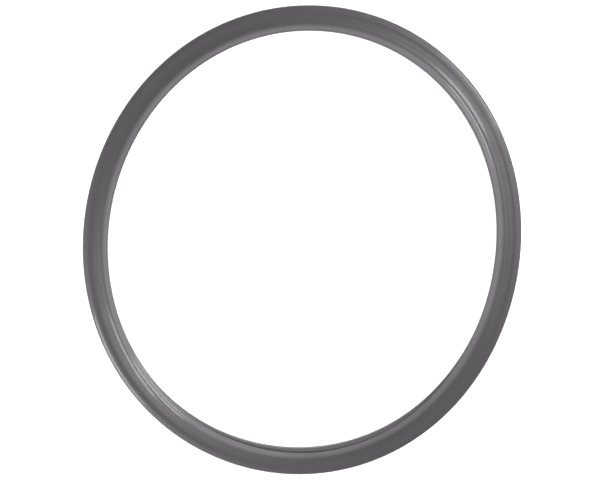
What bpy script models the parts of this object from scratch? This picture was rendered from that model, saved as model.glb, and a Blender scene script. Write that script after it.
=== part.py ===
"""Sealing ring of a 22 cm stovetop pressure cooker: one moulded elastomer ring, lying on its flat underside.

Its cross-section is a lip seal that opens towards the middle of the ring. An outer wall carries an upper
lip, which meets the lid, and a lower lip, which meets the rim of the pot. Steam enters the groove between
them and presses each against its seat. Metres, +Z up, origin at the centre of the underside.
"""

from math import cos, radians, sin

import bmesh
import bpy
from mathutils import Vector

MM = 0.001

# The whole ring
OUTER_RADIUS = 122.0 * MM  # when the lid holds it round
RELAXED_OVAL = 0.038  # lying free, it is longer along Y and narrower along X by this share
SEGMENTS = 96  # steps around the ring

# Its cross-section, in which a depth is measured inwards from the outer wall
BAND_WIDTH = 13.6 * MM  # to the edge of the upper lip
FOOT_CORNER = 1.2 * MM  # radius
RIM_HEIGHT = 7.7 * MM
RIM_CORNER = 2.1 * MM  # radius
VALLEY_DEPTH, VALLEY_HEIGHT = 4.2 * MM, 7.66 * MM  # the hollow of the upper face
CREST_DEPTH, CREST_HEIGHT = 9.35 * MM, 8.6 * MM  # the upper face's highest line
CREST_ROUNDING = 0.7 * MM  # radius
UPPER_EDGE_HEIGHT = 6.6 * MM  # middle of the upper lip's rounded edge
UPPER_EDGE_RADIUS = 0.65 * MM
GROOVE_DEPTH, GROOVE_HEIGHT = 4.6 * MM, 4.2 * MM  # middle of the groove's round bottom
GROOVE_RADIUS = 1.3 * MM
LOWER_LIP_SETBACK = 0.7 * MM  # the lower lip is this much shorter than the upper one
LOWER_EDGE_RADIUS = 1.1 * MM  # its rounded edge touches the underside


def arc(depth, height, radius, start, end, steps):
    """Points of a circular arc. At 0 degrees it faces the middle of the ring, and at 90 degrees up."""
    angles = [radians(start + (end - start) * step / steps) for step in range(steps + 1)]
    return [(depth + radius * cos(angle), height + radius * sin(angle)) for angle in angles]


def curve(start, start_slope, end, end_slope, steps):
    """Points strictly between two ends, on the cubic that leaves and arrives at the given slopes."""
    width = end[0] - start[0]
    points = []
    for step in range(1, steps):
        t = step / steps
        height = (
            start[1] * (2 * t**3 - 3 * t**2 + 1)
            + start_slope * width * (t**3 - 2 * t**2 + t)
            + end[1] * (3 * t**2 - 2 * t**3)
            + end_slope * width * (t**3 - t**2)
        )
        points.append((start[0] + t * width, height))
    return points


def cross_section():
    """(depth, height) points once around the section, starting at the foot of the outer wall."""
    foot = arc(FOOT_CORNER, FOOT_CORNER, FOOT_CORNER, 270, 180, 3)
    rim = arc(RIM_CORNER, RIM_HEIGHT - RIM_CORNER, RIM_CORNER, 180, 96, 5)
    valley = (VALLEY_DEPTH, VALLEY_HEIGHT)
    crest = arc(CREST_DEPTH, CREST_HEIGHT - CREST_ROUNDING, CREST_ROUNDING, 108, 72, 2)
    hollow = curve(rim[-1], 0.06, valley, 0.0, 2) + [valley] + curve(valley, 0.0, crest[0], 0.32, 3)
    upper_edge = arc(
        BAND_WIDTH - UPPER_EDGE_RADIUS, UPPER_EDGE_HEIGHT, UPPER_EDGE_RADIUS, 72, -94, 5
    )
    groove = arc(GROOVE_DEPTH, GROOVE_HEIGHT, GROOVE_RADIUS, 94, 266, 4)
    lower_edge_depth = BAND_WIDTH - LOWER_LIP_SETBACK - LOWER_EDGE_RADIUS
    lower_edge = arc(lower_edge_depth, LOWER_EDGE_RADIUS, LOWER_EDGE_RADIUS, 86, -90, 5)
    return foot + rim + hollow + crest + upper_edge + groove + lower_edge


def around_ring(depth, height, angle):
    """The place of one section point at an angle around the relaxed ring, whose band stays as wide."""
    long_side, short_side = 1 + RELAXED_OVAL, 1 - RELAXED_OVAL
    outer_wall = OUTER_RADIUS * Vector((short_side * cos(angle), long_side * sin(angle), 0))
    outwards = Vector((long_side * cos(angle), short_side * sin(angle), 0)).normalized()
    return outer_wall - depth * outwards + Vector((0, 0, height))


def silicone():
    """Dark warm grey silicone rubber with a satin face."""
    material = bpy.data.materials.new("grey_silicone")
    material.use_nodes = True
    surface = material.node_tree.nodes["Principled BSDF"]
    surface.inputs["Base Color"].default_value = (0.095, 0.091, 0.097, 1)
    surface.inputs["Roughness"].default_value = 0.42
    surface.inputs["Metallic"].default_value = 0.0
    return material


def sealing_ring():
    """The section swept once around, as one closed skin."""
    section = cross_section()
    skin = bmesh.new()
    loops = []
    for segment in range(SEGMENTS):
        angle = radians(360 * segment / SEGMENTS)
        loops.append([skin.verts.new(around_ring(*point, angle)) for point in section])
    for loop, next_loop in zip(loops, loops[1:] + loops[:1]):
        for i in range(len(section)):
            j = (i + 1) % len(section)
            skin.faces.new((loop[i], next_loop[i], next_loop[j], loop[j]))
    bmesh.ops.recalc_face_normals(skin, faces=skin.faces)
    mesh = bpy.data.meshes.new("sealing_ring")
    skin.to_mesh(mesh)
    skin.free()
    mesh.shade_smooth()
    mesh.set_sharp_from_angle(angle=radians(40))
    mesh.materials.append(silicone())
    ring = bpy.data.objects.new("sealing_ring", mesh)
    bpy.context.scene.collection.objects.link(ring)
    return ring


for old in list(bpy.data.objects):
    bpy.data.objects.remove(old)
sealing_ring()
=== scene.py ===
"""Looks of the pressure cooker sealing ring: fine moulded section, satin silicone, studio light and camera.

Depths run inwards from the ring's outer wall and heights run up from the floor, both in millimetres. A
picture angle is 0 to the right in the picture and 90 up it. What happens at one place around the ring is
given as a picture angle and a reach, the degrees on either side over which it eases away to nothing.
"""

from math import cos, degrees, hypot, radians, sin

import bmesh
import bpy
import numpy as np
from mathutils import Matrix, Vector


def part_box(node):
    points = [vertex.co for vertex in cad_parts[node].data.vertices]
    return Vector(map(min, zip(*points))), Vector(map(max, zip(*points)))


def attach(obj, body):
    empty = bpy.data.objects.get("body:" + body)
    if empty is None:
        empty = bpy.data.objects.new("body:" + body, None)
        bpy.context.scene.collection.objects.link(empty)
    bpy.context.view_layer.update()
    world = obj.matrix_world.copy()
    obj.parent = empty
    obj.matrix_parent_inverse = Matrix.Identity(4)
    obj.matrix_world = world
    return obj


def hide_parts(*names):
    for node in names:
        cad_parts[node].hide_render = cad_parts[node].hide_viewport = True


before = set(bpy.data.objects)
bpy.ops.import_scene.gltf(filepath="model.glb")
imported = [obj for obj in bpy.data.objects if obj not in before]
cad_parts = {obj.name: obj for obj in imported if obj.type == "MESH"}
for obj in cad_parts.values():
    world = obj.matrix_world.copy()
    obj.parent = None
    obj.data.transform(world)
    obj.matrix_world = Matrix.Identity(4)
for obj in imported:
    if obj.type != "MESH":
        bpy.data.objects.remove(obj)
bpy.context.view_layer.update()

MM = 0.001
NODE = "sealing_ring"

# ---------------------------------------------------------------- main sizes, read from the frame

low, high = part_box(NODE)
HALF_X, HALF_Y = (high.x - low.x) / 2, (high.y - low.y) / 2
OUTER_RADIUS = (HALF_X + HALF_Y) / 2
OVAL = (HALF_Y - HALF_X) / (HALF_Y + HALF_X)
HEIGHT = (high.z - low.z) / MM
BAND = (HALF_X - min(hypot(v.co.x, v.co.y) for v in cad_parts[NODE].data.vertices)) / MM

# ---------------------------------------------------------------- cross-section

CREST_DEPTH = 9.35
RIM_RADIUS = 1.8  # of the outer wall's top corner
LIP_RADIUS = 0.65  # of the upper lip's edge
FOOT_RADIUS = 1.2
GROOVE_DEPTH, GROOVE_HEIGHT, GROOVE_RADIUS = 4.6, 4.2, 1.3
LOWER_SETBACK = 0.7  # the lower lip is this much shorter than the upper one
LOWER_RADIUS = 1.1  # of its edge

# The upper face's rise in degrees at each depth.
SLOPES = [
    (0.93, 29), (1.3, 20), (1.9, 19), (2.5, 13), (3.2, 4), (3.8, -1), (4.4, -1), (5.0, 3), (6.0, 11),
    (6.8, 16), (7.6, 19), (8.2, 20), (8.8, 28), (9.2, 27), (9.4, 0), (9.55, -27), (9.9, -26), (10.3, -31),
    (10.65, -35), (10.95, -27), (11.3, -22), (11.65, -30), (11.95, -34), (12.3, -25), (12.7, -20),
    (13.3, -32),
]
FACE_STEP, FACE_KEPT = 0.01, 17  # the face is summed in steps this deep, and one in this many is a point
FACE_SOFTENING = 31  # steps over which its slope is evened out, an odd number
LIP_TURN = 0.53  # share of the lip's radius that lies between the end of the face and the very edge

# Zones of the section, each given by the two places between which it begins or ends
UPPER_LIP = (2.6, 5.2)  # heights, above the lower lip
TOP = (4.6, 6.6)  # heights, above the groove
HOLLOW_STARTS, HOLLOW_ENDS = (1.2, 2.2), (7.4, 8.6)  # depths, of the hollow outside the crest
LOWER_LIP = (6.0, BAND - 1.5)  # depths, of what rises in the fold
FOLDED = (CREST_DEPTH - 2.5, BAND)  # depths, of what moves across in the fold
DRIFT_STARTS, DRIFT_ENDS = (4.0, CREST_DEPTH), (BAND - 2.6, BAND)  # depths, of what moves with the crest

# ---------------------------------------------------------------- how the soft ring lies

SEGMENTS = 620  # steps around the ring
PICTURE_TURN = 10.65  # degrees from a direction in the picture to the same one in the ring's frame
UNEVEN = ((3, 0.31, 57), (4, 0.29, 35))  # lobes of its outline, their millimetres, picture angle of one

FOLD = (278, 56)  # picture angle and reach of the stretch where the upper lip is drawn back
FOLD_UPPER = 1.6  # millimetres that the upper lip draws back there
FOLD_LOWER = 1.3  # millimetres that the lower lip comes out
FOLD_RISE = 3.0  # millimetres that the lower lip rises

BUMP_POWER = 1.3  # the more, the narrower is everything with a reach

# Each row that follows starts with a picture angle and its reach.
WANDER = ((197, 36, 1.0), (40, 32, -0.25))  # then the crest's drift inwards, in millimetres
RIPPLE = ((2, 30, 0.06), (64, 22, 0.03), (246, 26, 0.03))  # then the height of its waves, in millimetres
RIPPLE_START, RIPPLE_LENGTH = 2.2, 3.4  # depth of the first wave, and from one to the next
# Then degrees of rise added inwards, and the depths where that comes in, is full, begins to go and is gone
TILTS = (
    (32, 62, 11.5, (1.8, 3.2, 4.6, 7.4)),
    (209, 34, 6.5, (4.2, 5.4, 6.2, 7.4)),
    (208, 34, -8.0, (9.35, 9.45, 10.0, 10.8)),
)

# ---------------------------------------------------------------- silicone

DARK = (0.0312, 0.0283, 0.0313, 1)  # the body
PALE_FINISH_AND_LIGHT = (0.0830, 0.0787, 0.0834, 1)  # the lip's matt zone: partly its paler finish, partly painted light for the brightness its inward slope catches
LIP_START, LIP_FULL = 9.4, 12.2  # depths where the matt, painted-light zone begins and is full
LIP_EDGE = (BAND - 1.3, BAND - 0.6)  # depths over which the edge begins
LIP_TOP = (4.6, 6.0)  # heights over which the zone comes in, above the groove
PAINTED_LIGHT_SOONER = ((207, 34, 1.6), (28, 55, 1.2))  # painted light, full sooner near the lamps: picture angle, reach, millimetres sooner that it is full
PAINTED_LIGHT_WEAKER = ((304, 40, 0.3),)  # painted shade, less painted light there: picture angle, reach, how much of it is missing
PAINTED_EDGE_SHADE = 0.5  # painted shade along the edge: how much of it is gone at the edge
LIP_KEPT = (290, 75)  # picture angle and reach of the stretch where the edge keeps it, without that painted shade
LOWER_TONE, LOWER_FADE = 0.7, 0.6  # painted light on the lower lip: how pale it is, and how much of that its edge loses, a painted shade
LOWER_STARTS, LOWER_EDGE = (7.0, 10.5), (11.5, 12.9)  # depths over which it and its edge begin
LOWER_ENDS = (3.6, 4.6)  # heights over which it goes out, towards the groove
LOWER_PAINTED_LIGHT = ((250, 34, 0.3),)  # painted light: picture angle, reach, how much paler the lower lip is there

CLOUDS, ROUGH_CLOUDS, DUST, GRAIN = 28, 70, 800, 1500  # noise scales, per metre
CLOUD_SHADE, GRAIN_SHADE = (0.96, 1.04), (0.97, 1.03)  # least and most that they brighten the colour
LIP_PATCHES = (0.86, 1.12)  # least and most that the clouds change the lip's matt, painted-light zone
DUST_LIMITS, DUST_STRENGTH = (0.7, 0.78), 0.3  # noise between which a speck comes in, and how pale it is
ROUGHNESS = (0.54, 0.62)  # least and most
LIP_ROUGHER = 0.04  # added in the matt zone
RIDGES = 1.9  # scale of the mould's fine ridges, per millimetre of depth
RELIEF, GRAIN_RELIEF = 0.00003, 0.15  # metres, and the grain's share of it
COAT, COAT_ROUGHNESS = 0.17, 0.12

# ---------------------------------------------------------------- floor, light and camera

FLOOR_HALF = 3.0  # metres
FLOOR_WHITE, FLOOR_ROUGHNESS, FLOOR_GLOW = 0.88, 0.8, 0.35
LAMP_DISTANCE = 1.2  # metres
# Name, picture angle, degrees from straight up, side in metres, watts
SOFTBOXES = (("key", 34, 58, 0.42, 13.5), ("fill", 215, 58, 0.42, 14), ("bounce", 10, 55, 1.3, 4))
WORLD_PLAIN, WORLD_GLOW = 0.54, 1.25  # strength everywhere, and what is added sideways
WORLD_ANGLE = 35  # picture angle towards which, and away from which, that is added
CAMERA_LENS, CAMERA_SENSOR = 100, 36  # millimetres
CAMERA_ANGLE, CAMERA_TILT = 97, 5  # leans from straight up towards a picture angle, by these degrees
CAMERA_DISTANCE = 0.8975  # metres
AIM_X, AIM_Y = -1.45, 0.92  # what it aims at, in millimetres right of the ring's centre and up the picture


# ---------------------------------------------------------------- easing


def ease(values, start, end):
    """0 before the start, 1 after the end, smooth between."""
    share = np.clip((values - start) / (end - start), 0, 1)
    return share * share * (3 - 2 * share)


def fall(values, start, end):
    """1 before the start, 0 after the end, smooth between."""
    return 1 - ease(values, start, end)


def bump(picture, middle, reach):
    """1 at the middle picture angle, easing to 0 at its reach on either side."""
    away = (picture - middle + 180) % 360 - 180
    return max(0.0, 1 - (away / reach) ** 2) ** BUMP_POWER


def total(rows, picture):
    """What the rows of middle, reach and size add up to at one picture angle."""
    return sum(size * bump(picture, middle, reach) for middle, reach, size in rows)


# ---------------------------------------------------------------- the ring's section


def upper_face():
    """Points along the upper face with its crest at full height, then its very end, then the slope there."""
    depths = np.arange(SLOPES[0][0], BAND - LIP_RADIUS * LIP_TURN, FACE_STEP)
    slopes = np.interp(depths, *zip(*SLOPES))
    window = np.hanning(FACE_SOFTENING) / np.hanning(FACE_SOFTENING).sum()
    soft = np.convolve(np.pad(slopes, len(window) // 2, mode="edge"), window, mode="valid")
    heights = np.cumsum(np.tan(np.radians(soft)) * FACE_STEP)
    heights += HEIGHT - heights.max()
    points = list(zip(depths, heights))
    return points[::FACE_KEPT], points[-1], float(soft[-1])


def arc(depth, height, radius, start, end, spacing):
    """Points of an arc. At 0 degrees it faces the middle of the ring, and at 90 degrees up."""
    count = max(3, round(abs(radians(end - start)) * radius / spacing))
    angles = [radians(start + (end - start) * i / count) for i in range(count + 1)]
    return [(depth + radius * cos(a), height + radius * sin(a)) for a in angles]


def line(start, end, count):
    """Points strictly between two ends."""
    shares = [i / (count + 1) for i in range(1, count + 1)]
    return [(start[0] + (end[0] - start[0]) * s, start[1] + (end[1] - start[1]) * s) for s in shares]


def cross_section():
    """(depth, height) once around the section, from the foot of the outer wall up and over."""
    foot = arc(FOOT_RADIUS, FOOT_RADIUS, FOOT_RADIUS, 270, 180, 0.3)
    face, last, slope = upper_face()
    rim_end = 90 + SLOPES[0][1]
    rim = arc(RIM_RADIUS, face[0][1] - RIM_RADIUS * sin(radians(rim_end)), RIM_RADIUS, 180, rim_end, 0.15)
    across = radians(90 + slope)
    lip_depth, lip_height = last[0] - LIP_RADIUS * cos(across), last[1] - LIP_RADIUS * sin(across)
    upper_edge = arc(lip_depth, lip_height, LIP_RADIUS, 90 + slope, -94, 0.15)
    groove = arc(GROOVE_DEPTH, GROOVE_HEIGHT, GROOVE_RADIUS, 94, 266, 0.4)
    lower_edge = arc(BAND - LOWER_SETBACK - LOWER_RADIUS, LOWER_RADIUS, LOWER_RADIUS, 86, -90, 0.2)
    return (
        foot
        + line(foot[-1], rim[0], 6)
        + rim[:-1]
        + face
        + upper_edge
        + line(upper_edge[-1], groove[0], 6)
        + groove
        + line(groove[-1], lower_edge[0], 7)
        + lower_edge
        + line(lower_edge[-1], foot[0], 6)
    )


def tilt_height(depth, come_in, full, go_out, gone):
    """Height gained at each depth, from the crest, for a slope of 1 added between the given depths."""
    step = 0.05
    fine = np.arange(0, BAND + 0.5, step)
    gained = np.cumsum(ease(fine, come_in, full) * fall(fine, go_out, gone)) * step
    return np.interp(depth, fine, gained) - np.interp(CREST_DEPTH, fine, gained)


def move_across(depth, height, picture):
    """The section's depths at one picture angle: folded lip, drifting crest and uneven outline."""
    upper = ease(height, *UPPER_LIP)
    inner = ease(depth, *FOLDED) * bump(picture, *FOLD)
    near_crest = ease(depth, *DRIFT_STARTS) * fall(depth, *DRIFT_ENDS) * upper
    uneven = sum(size * cos(lobes * radians(picture - peak)) for lobes, size, peak in UNEVEN)
    folded = depth + inner * (FOLD_LOWER * (1 - upper) - FOLD_UPPER * upper)
    return folded + total(WANDER, picture) * near_crest - uneven


def lift(depth, height, picture):
    """The section's heights at one picture angle: raised lower lip, tilted and rippled upper face."""
    lower_lip = ease(depth, *LOWER_LIP) * fall(height, *UPPER_LIP) * (height > LOWER_RADIUS)
    top = ease(height, *TOP)
    lifted = height + FOLD_RISE * bump(picture, *FOLD) * lower_lip
    for middle, reach, degree, span in TILTS:
        slope = np.tan(radians(degree * bump(picture, middle, reach)))
        lifted = lifted + slope * tilt_height(depth, *span) * top
    hollow = ease(depth, *HOLLOW_STARTS) * fall(depth, *HOLLOW_ENDS) * top
    wave = np.sin(2 * np.pi * (depth - RIPPLE_START) / RIPPLE_LENGTH)
    return lifted + total(RIPPLE, picture) * wave * hollow


def lip_tone_and_painted_light(depth, height, picture):
    """How matt each point is and how much light is painted on it: the slope inside the crest, easing off
    before most of the edge as painted shade, then the lower lip painted paler.
    """
    # painted light: the lip's slope is painted paler, sooner near the lamps, weaker at one stretch, with
    # painted shade at its edge
    matt_and_painted_light = ease(depth, LIP_START, LIP_FULL - total(PAINTED_LIGHT_SOONER, picture))
    edge = 1 - PAINTED_EDGE_SHADE * (1 - bump(picture, *LIP_KEPT)) * ease(depth, *LIP_EDGE)
    upper = matt_and_painted_light * edge * (1 - total(PAINTED_LIGHT_WEAKER, picture)) * ease(height, *LIP_TOP)
    # painted light on the lower lip, with painted shade at its edge
    below = LOWER_TONE + total(LOWER_PAINTED_LIGHT, picture) - LOWER_FADE * ease(depth, *LOWER_EDGE)
    return upper + below * ease(depth, *LOWER_STARTS) * fall(height, *LOWER_ENDS)


def place(angle, moved, lifted):
    """Where the section's points are at one angle around the oval, as rows of x, y and z in metres."""
    wall_x, wall_y = OUTER_RADIUS * (1 - OVAL) * cos(angle), OUTER_RADIUS * (1 + OVAL) * sin(angle)
    out = Vector(((1 + OVAL) * cos(angle), (1 - OVAL) * sin(angle))).normalized()
    inwards = moved * MM
    return np.column_stack([wall_x - out.x * inwards, wall_y - out.y * inwards, low.z + lifted * MM])


def ring_faces(count):
    """Quads between each section of so many points and the next one around."""
    k, i = np.meshgrid(np.arange(SEGMENTS), np.arange(count), indexing="ij")
    j, n = (i + 1) % count, (k + 1) % SEGMENTS
    return np.stack([k * count + i, k * count + j, n * count + j, n * count + i], axis=-1).reshape(-1, 4)


def face_outwards(mesh):
    skin = bmesh.new()
    skin.from_mesh(mesh)
    bmesh.ops.recalc_face_normals(skin, faces=skin.faces)
    skin.to_mesh(mesh)
    skin.free()


def ring_mesh():
    """The whole ring, with each point's depth and its lip tone, its matt finish and painted light, for its
    material.
    """
    depth, height = np.array(cross_section()).T
    verts, tones = [], []
    for k in range(SEGMENTS):
        angle = 2 * np.pi * k / SEGMENTS
        picture = degrees(angle) - PICTURE_TURN
        verts.append(place(angle, move_across(depth, height, picture), lift(depth, height, picture)))
        tones.append(lip_tone_and_painted_light(depth, height, picture))
    mesh = bpy.data.meshes.new("ring")
    mesh.from_pydata(np.concatenate(verts).tolist(), [], ring_faces(len(depth)).tolist())
    # the lip tone carries the painted light and painted shade
    for name, values in (("depth", np.tile(depth, SEGMENTS)), ("lip", np.concatenate(tones))):
        layer = mesh.attributes.new(name, "FLOAT", "POINT")
        layer.data.foreach_set("value", values.astype(np.float32))
    face_outwards(mesh)
    mesh.shade_smooth()
    return mesh


# ---------------------------------------------------------------- shader nodes


def add(tree, kind, values=(), **settings):
    """A new node with the given input values, by name, and settings."""
    made = tree.nodes.new(kind)
    for name, value in settings.items():
        setattr(made, name, value)
    for name, value in dict(values).items():
        made.inputs[name].default_value = value
    return made


def noise(tree, where, scale, detail):
    made = add(tree, "ShaderNodeTexNoise", {"Scale": scale, "Detail": detail, "Roughness": 0.55})
    tree.links.new(where, made.inputs["Vector"])
    return made.outputs["Fac"]


def spread(tree, value, low_out, high_out, low_in=0.3, high_in=0.7):
    """A value between two limits, mapped to two others."""
    limits = {"From Min": low_in, "From Max": high_in, "To Min": low_out, "To Max": high_out}
    made = add(tree, "ShaderNodeMapRange", limits)
    tree.links.new(value, made.inputs["Value"])
    return made.outputs["Result"]


def combine(tree, operation, first, second):
    """Two values, the second of them a number or an output, put together by a named operation."""
    made = add(tree, "ShaderNodeMath", operation=operation)
    tree.links.new(first, made.inputs[0])
    if isinstance(second, (int, float)):
        made.inputs[1].default_value = second
    else:
        tree.links.new(second, made.inputs[1])
    return made.outputs["Value"]


# ---------------------------------------------------------------- the ring's material


def silicone_colour(tree, lip, cloud, grain, dust):
    """Dark, pale on the lip with painted light, pale in specks of dust, and mottled a little."""
    specks = spread(tree, dust, 0, DUST_STRENGTH, *DUST_LIMITS)
    # painted light on the lip, mottled by the clouds, with pale specks of dust added
    patches = combine(tree, "MULTIPLY", lip, spread(tree, cloud, *LIP_PATCHES))
    painted_light_and_dust = combine(tree, "ADD", patches, specks)
    tint = add(tree, "ShaderNodeMix", data_type="RGBA")
    tint.inputs["A"].default_value, tint.inputs["B"].default_value = DARK, PALE_FINISH_AND_LIGHT
    tree.links.new(painted_light_and_dust, tint.inputs["Factor"])
    shade = add(tree, "ShaderNodeHueSaturation")
    tree.links.new(tint.outputs["Result"], shade.inputs["Color"])
    cloud_shade, grain_shade = spread(tree, cloud, *CLOUD_SHADE), spread(tree, grain, *GRAIN_SHADE)
    mottle = combine(tree, "MULTIPLY", cloud_shade, grain_shade)
    tree.links.new(mottle, shade.inputs["Value"])
    return shade.outputs["Color"]


def silicone_relief(tree, depth, grain):
    """A fine surface: the mould's ridges run along the ring, with grain on them."""
    ridges = add(tree, "ShaderNodeTexNoise", {"Scale": RIDGES, "Detail": 1.0}, noise_dimensions="1D")
    tree.links.new(depth, ridges.inputs["W"])
    relief = combine(tree, "ADD", ridges.outputs["Fac"], combine(tree, "MULTIPLY", grain, GRAIN_RELIEF))
    pores = add(tree, "ShaderNodeBump", {"Strength": 1.0, "Distance": RELIEF})
    tree.links.new(relief, pores.inputs["Height"])
    return pores.outputs["Normal"]


def silicone():
    """Dark silicone: mottled, finely ridged along the ring by its mould, matt on the lip and painted paler
    there with painted light.
    """
    material = bpy.data.materials.new("grey_silicone")
    material.use_nodes = True
    tree = material.node_tree
    surface = tree.nodes["Principled BSDF"]
    where = add(tree, "ShaderNodeTexCoord").outputs["Object"]
    depth = add(tree, "ShaderNodeAttribute", attribute_name="depth").outputs["Fac"]
    # the lip tone: the lip's matt finish and the light painted on it
    lip = add(tree, "ShaderNodeAttribute", attribute_name="lip").outputs["Fac"]
    cloud, dust = noise(tree, where, CLOUDS, 4), noise(tree, where, DUST, 2)
    grain = noise(tree, where, GRAIN, 2)
    patches = spread(tree, noise(tree, where, ROUGH_CLOUDS, 4), *ROUGHNESS)
    rough = combine(tree, "ADD", patches, combine(tree, "MULTIPLY", lip, LIP_ROUGHER))
    tree.links.new(silicone_colour(tree, lip, cloud, grain, dust), surface.inputs["Base Color"])
    tree.links.new(rough, surface.inputs["Roughness"])
    tree.links.new(silicone_relief(tree, depth, grain), surface.inputs["Normal"])
    surface.inputs["Coat Weight"].default_value = COAT
    surface.inputs["Coat Roughness"].default_value = COAT_ROUGHNESS
    return material


# ---------------------------------------------------------------- the studio


def picture_direction(angle, tilt):
    """A unit vector that leans from straight up by tilt degrees, towards a picture angle."""
    across = radians(angle + PICTURE_TURN)
    return Vector((sin(radians(tilt)) * cos(across), sin(radians(tilt)) * sin(across), cos(radians(tilt))))


def make_floor():
    mesh = bpy.data.meshes.new("floor")
    skin = bmesh.new()
    bmesh.ops.create_grid(skin, x_segments=1, y_segments=1, size=FLOOR_HALF)
    skin.to_mesh(mesh)
    skin.free()
    floor = bpy.data.objects.new("floor", mesh)
    floor.location.z = low.z
    bpy.context.scene.collection.objects.link(floor)
    material = bpy.data.materials.new("pale_floor")
    material.use_nodes = True
    surface = material.node_tree.nodes["Principled BSDF"]
    surface.inputs["Base Color"].default_value = (FLOOR_WHITE, FLOOR_WHITE, FLOOR_WHITE, 1)
    surface.inputs["Roughness"].default_value = FLOOR_ROUGHNESS
    surface.inputs["Specular IOR Level"].default_value = 0.0
    surface.inputs["Emission Color"].default_value = (1, 1, 1, 1)
    surface.inputs["Emission Strength"].default_value = FLOOR_GLOW
    mesh.materials.append(material)


def make_softbox(name, angle, tilt, side, power):
    """A square lamp that shines at the middle of the ring."""
    light = bpy.data.lights.new(name, "AREA")
    light.shape = "RECTANGLE"
    light.size, light.size_y = side, side
    light.energy = power
    lamp = bpy.data.objects.new(name, light)
    towards = picture_direction(angle, tilt)
    lamp.location = towards * LAMP_DISTANCE
    lamp.rotation_mode = "QUATERNION"
    lamp.rotation_quaternion = (-towards).to_track_quat("-Z", "Y")
    bpy.context.scene.collection.objects.link(lamp)


def make_world():
    """White surroundings, brighter low down towards one picture angle and away from it."""
    world = bpy.data.worlds.new("studio")
    world.use_nodes = True
    tree = world.node_tree
    back = tree.nodes["Background"]
    split = add(tree, "ShaderNodeSeparateXYZ")
    tree.links.new(add(tree, "ShaderNodeTexCoord").outputs["Generated"], split.inputs["Vector"])
    bright_way = picture_direction(WORLD_ANGLE, 90)
    part_x = combine(tree, "MULTIPLY", split.outputs["X"], bright_way.x)
    part_y = combine(tree, "MULTIPLY", split.outputs["Y"], bright_way.y)
    sideways = combine(tree, "ADD", part_x, part_y)
    glow = combine(tree, "MULTIPLY", combine(tree, "MULTIPLY", sideways, sideways), WORLD_GLOW)
    tree.links.new(combine(tree, "ADD", glow, WORLD_PLAIN), back.inputs["Strength"])
    back.inputs["Color"].default_value = (1, 1, 1, 1)
    bpy.context.scene.world = world


def make_camera():
    data = bpy.data.cameras.new("camera")
    data.lens = CAMERA_LENS
    data.sensor_width = CAMERA_SENSOR
    camera = bpy.data.objects.new("camera", data)
    bpy.context.scene.collection.objects.link(camera)
    z = picture_direction(CAMERA_ANGLE, CAMERA_TILT)
    x = picture_direction(90, 90).cross(z).normalized()
    y = z.cross(x)
    aim = x * AIM_X * MM + y * AIM_Y * MM
    turned = Matrix((x, y, z)).transposed().to_4x4()
    camera.matrix_world = Matrix.Translation(aim + z * CAMERA_DISTANCE) @ turned
    bpy.context.scene.camera = camera


# ---------------------------------------------------------------- the scene

ring = bpy.data.objects.new("ring", ring_mesh())
bpy.context.scene.collection.objects.link(ring)
ring.data.materials.append(silicone())
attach(ring, "root")
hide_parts(NODE)

make_floor()
make_world()
for softbox in SOFTBOXES:
    make_softbox(*softbox)
make_camera()
bpy.context.scene.view_settings.view_transform = "Standard"
